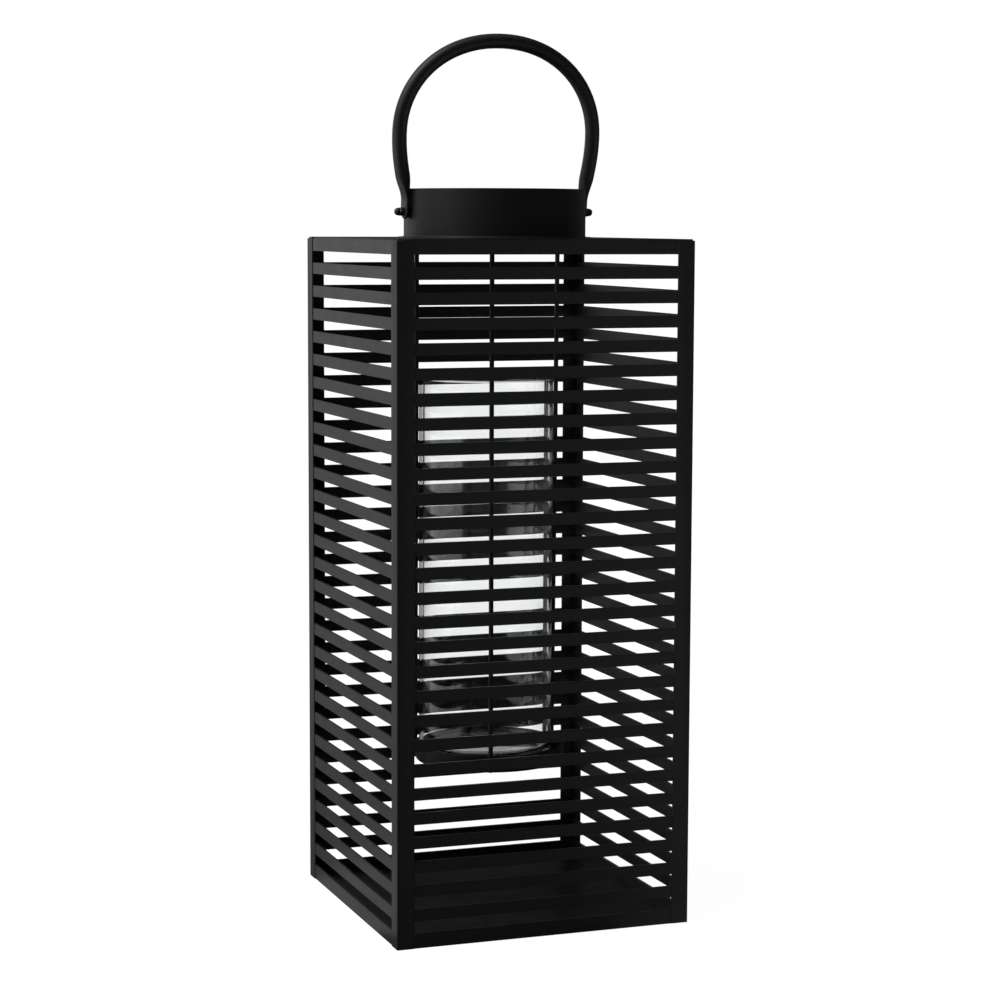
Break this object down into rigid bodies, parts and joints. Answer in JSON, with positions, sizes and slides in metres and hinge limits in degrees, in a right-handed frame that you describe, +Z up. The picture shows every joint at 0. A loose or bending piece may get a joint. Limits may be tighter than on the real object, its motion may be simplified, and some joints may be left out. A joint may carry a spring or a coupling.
{
  "type": "hurricane candle lantern",
  "caption": "Tall square slatted steel lantern: a bail handle pivots on a round top collar, and a glass hurricane stands inside in a dish hung on rods.",
  "frame": {"origin": "centre of the square footprint, on the surface that the lantern stands on", "axes": "+Z up; the handle's hinge line runs along X above the origin; the front grille faces -Y; at zero the handle leans 5 degrees towards -Y"},
  "size_m": [0.26, 0.26, 0.7522],
  "materials": {
    "powder_coat": "fine-texture satin black powder coat on sheet steel, flat bar and tube",
    "black_hardware": "black-finished steel screws, washers and dome nuts, slightly glossier than the coat",
    "clear_glass": "clear blown glass, fire-polished rim, thick base"
  },
  "bodies": {
    "lantern": {"back_slat_panel": "powder_coat", "base_plate": "powder_coat", "bottom_rail_back": "powder_coat", "bottom_rail_front": "powder_coat", "bottom_rail_left": "powder_coat", "bottom_rail_right": "powder_coat", "collar": "powder_coat", "corner_post_back_left": "powder_coat", "corner_post_back_right": "powder_coat", "corner_post_front_left": "powder_coat", "corner_post_front_right": "powder_coat", "dome_nut_left": "black_hardware", "dome_nut_right": "black_hardware", "front_slat_panel": "powder_coat", "hanger_rod_front": "powder_coat", "hanger_rod_left": "powder_coat", "hanger_rod_right": "powder_coat", "holder_tray": "powder_coat", "left_slat_panel": "powder_coat", "pivot_screw_left": "black_hardware", "pivot_screw_right": "black_hardware", "pivot_washer_left": "black_hardware", "pivot_washer_right": "black_hardware", "right_slat_panel": "powder_coat", "top_plate": "powder_coat", "top_rail_back": "powder_coat", "top_rail_front": "powder_coat", "top_rail_left": "powder_coat", "top_rail_right": "powder_coat"},
    "bail_handle": {"handle": "powder_coat"},
    "glass": {"glass_cylinder": "clear_glass"}
  },
  "joints": [
    {"name": "handle_swing", "type": "hinge", "parent": "lantern", "child": "bail_handle", "pos_m": [0, 0, 0.602], "axis": [1, 0, 0], "range_deg": [-101.5, 91.5]},
    {"name": "glass_lift", "type": "slide", "parent": "lantern", "child": "glass", "axis": [0, 0, 1], "range_m": [0, 0.25]}
  ]
}
